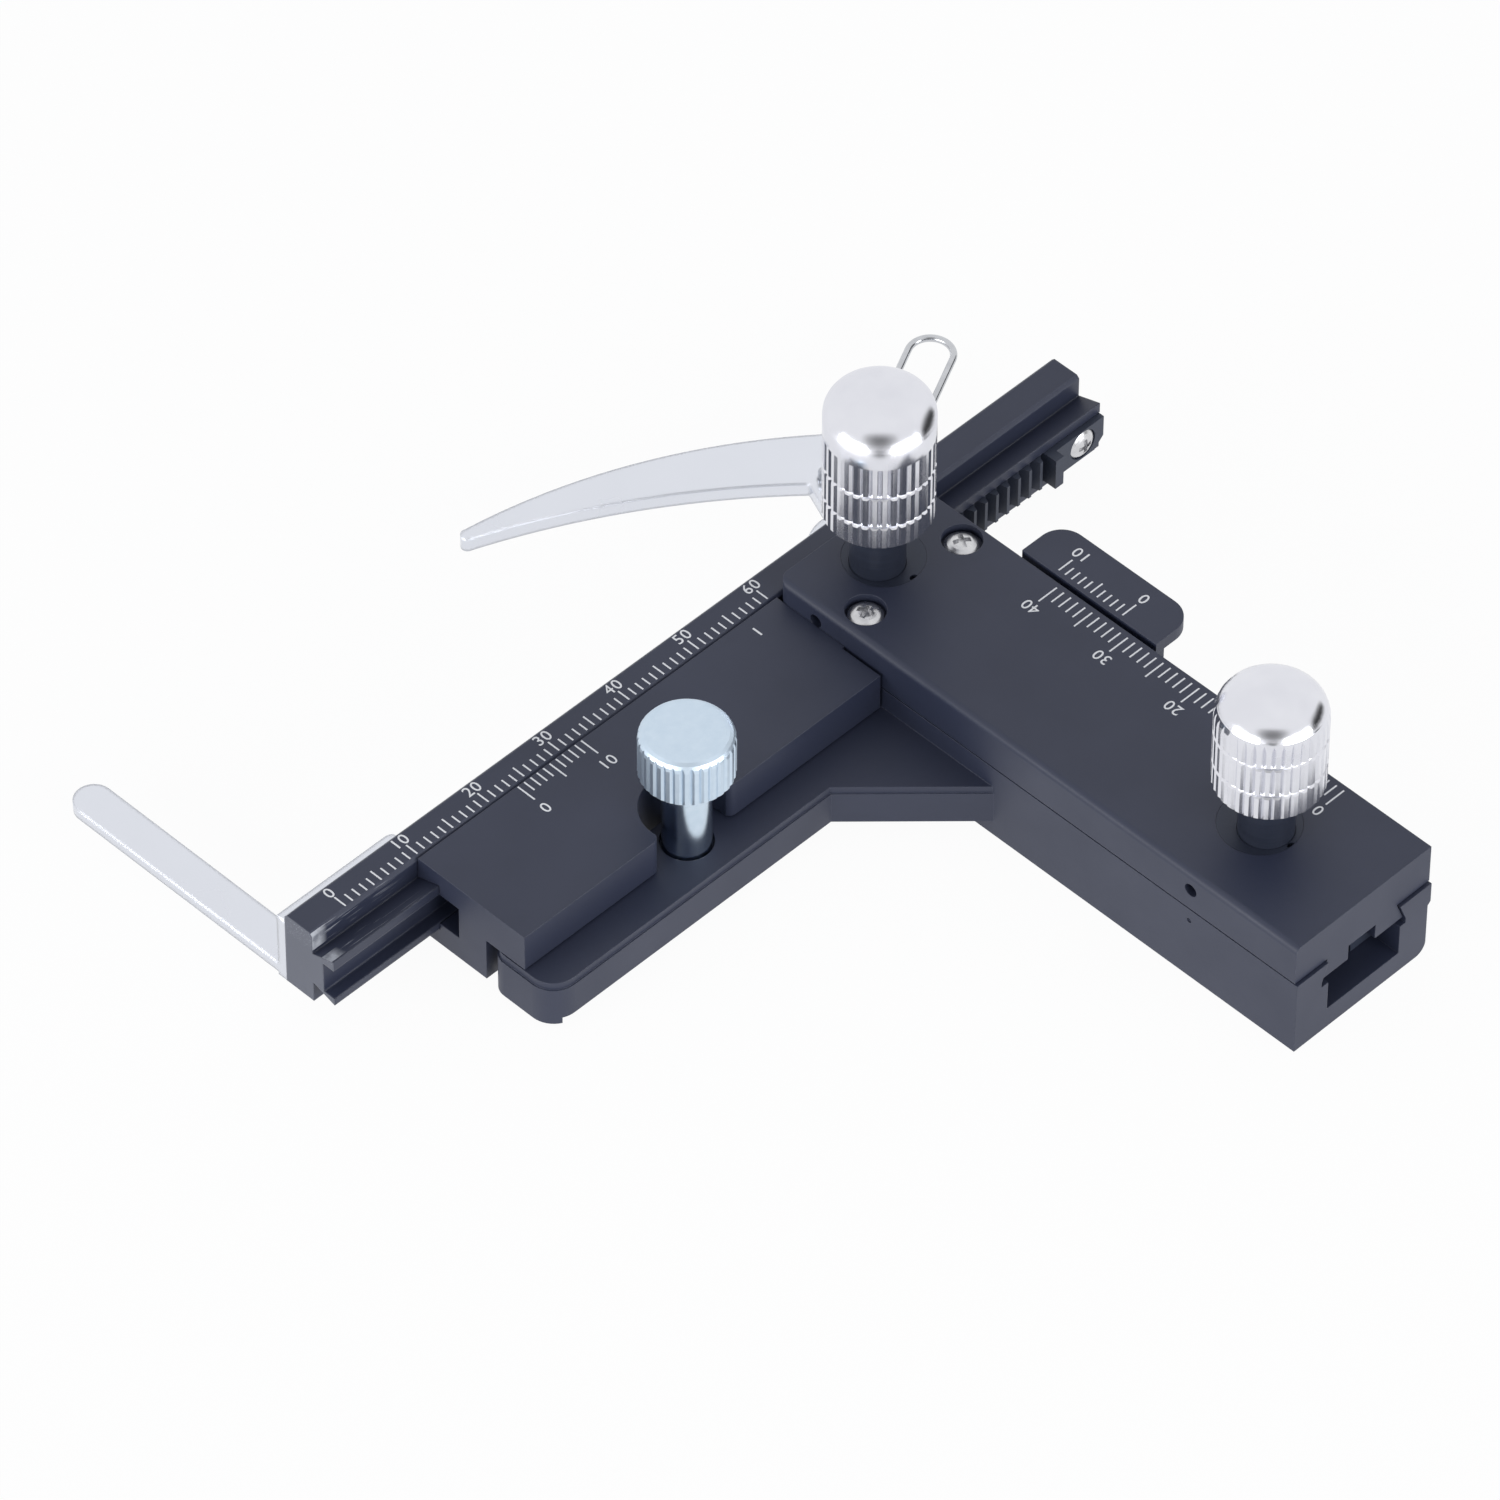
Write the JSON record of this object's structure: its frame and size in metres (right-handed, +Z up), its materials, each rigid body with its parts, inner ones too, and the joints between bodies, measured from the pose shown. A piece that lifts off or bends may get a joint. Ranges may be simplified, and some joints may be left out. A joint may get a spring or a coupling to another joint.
{
  "type": "mechanical_microscope_stage",
  "caption": "Attachable X-Y mechanical stage for a microscope: black grooved arm and bar with rack drives, bright knurled knobs, clamping screw and sprung slide holder.",
  "frame": {"origin": "axis of the clamping screw, on the underside of the clamping plate", "axes": "+X along the bar (rising readings), +Y to the specimen slide, +Z up"},
  "size_m": [0.1116, 0.1098, 0.0391],
  "materials": {
    "black_anodised": "fine matt black anodised coat on cast and milled metal",
    "black_nylon": "moulded matt black toothed strip",
    "black_oxide": "blackened turned steel with a slight sheen",
    "chrome_knob": "bright plated, straight flutes",
    "zinc_plated": "bluish bright zinc plate",
    "zinc_screw": "bright zinc plate",
    "spring_steel": "drawn bright spring wire",
    "bright_sheet": "smooth bright plated sheet"
  },
  "bodies": {
    "base": {"base": "black_anodised", "y_rack": "black_nylon", "y_rack_screws": "zinc_screw"},
    "y_slide": {"y_slider": "black_anodised", "x_carriage": "black_anodised", "carriage_screws": "zinc_screw", "x_bush": "black_oxide", "y_bush": "black_oxide", "bush_lock_screws": "black_oxide"},
    "x_slide": {"x_bar": "black_anodised", "x_rack": "black_nylon", "x_rack_screws": "zinc_screw", "slide_holder": "bright_sheet", "holder_screws": "zinc_screw", "finger_pivot": "bright_sheet", "finger_spring": "spring_steel"},
    "finger": {"moving_finger": "bright_sheet", "finger_lever": "spring_steel"},
    "x_drive": {"x_pinion_shaft": "black_oxide", "x_knob": "chrome_knob", "x_retaining_ring": "spring_steel"},
    "y_drive": {"y_pinion_shaft": "black_oxide", "y_knob": "chrome_knob", "y_retaining_ring": "spring_steel"},
    "clamp": {"thumb_screw": "zinc_plated"}
  },
  "joints": [
    {"name": "y_travel", "type": "slide", "parent": "base", "child": "y_slide", "axis": [0, 1, 0], "range_m": [-0.0005, 0.0324]},
    {"name": "x_travel", "type": "slide", "parent": "y_slide", "child": "x_slide", "axis": [1, 0, 0], "range_m": [-0.0239, 0.0239]},
    {"name": "x_knob_turn", "type": "hinge", "parent": "y_slide", "child": "x_drive", "pos_m": [0.03616, 0.00851, 0.0204], "axis": [0, 0, 1], "range_deg": [-585, 585]},
    {"name": "y_knob_turn", "type": "hinge", "parent": "y_slide", "child": "y_drive", "pos_m": [0.03714, -0.04505, 0.02005], "axis": [0, 0, 1], "range_deg": [-790, 15]},
    {"name": "finger_swing", "type": "hinge", "parent": "x_slide", "child": "finger", "pos_m": [0.04984, 0.02375, 0.001], "axis": [0, 0, 1], "range_deg": [-30, 0], "stiffness_Nm_per_rad": 0.02, "springref_deg": 17.19, "deforming": ["finger_spring"]},
    {"name": "clamp_turn", "type": "hinge", "parent": "base", "child": "clamp", "pos_m": [0, 0, 0.0154], "axis": [0, 0, 1], "continuous": true}
  ],
  "couplings": [
    {"joint": "x_knob_turn", "follows": "x_travel", "rad_per_m": -423.1},
    {"joint": "y_knob_turn", "follows": "y_travel", "rad_per_m": -423.1}
  ]
}
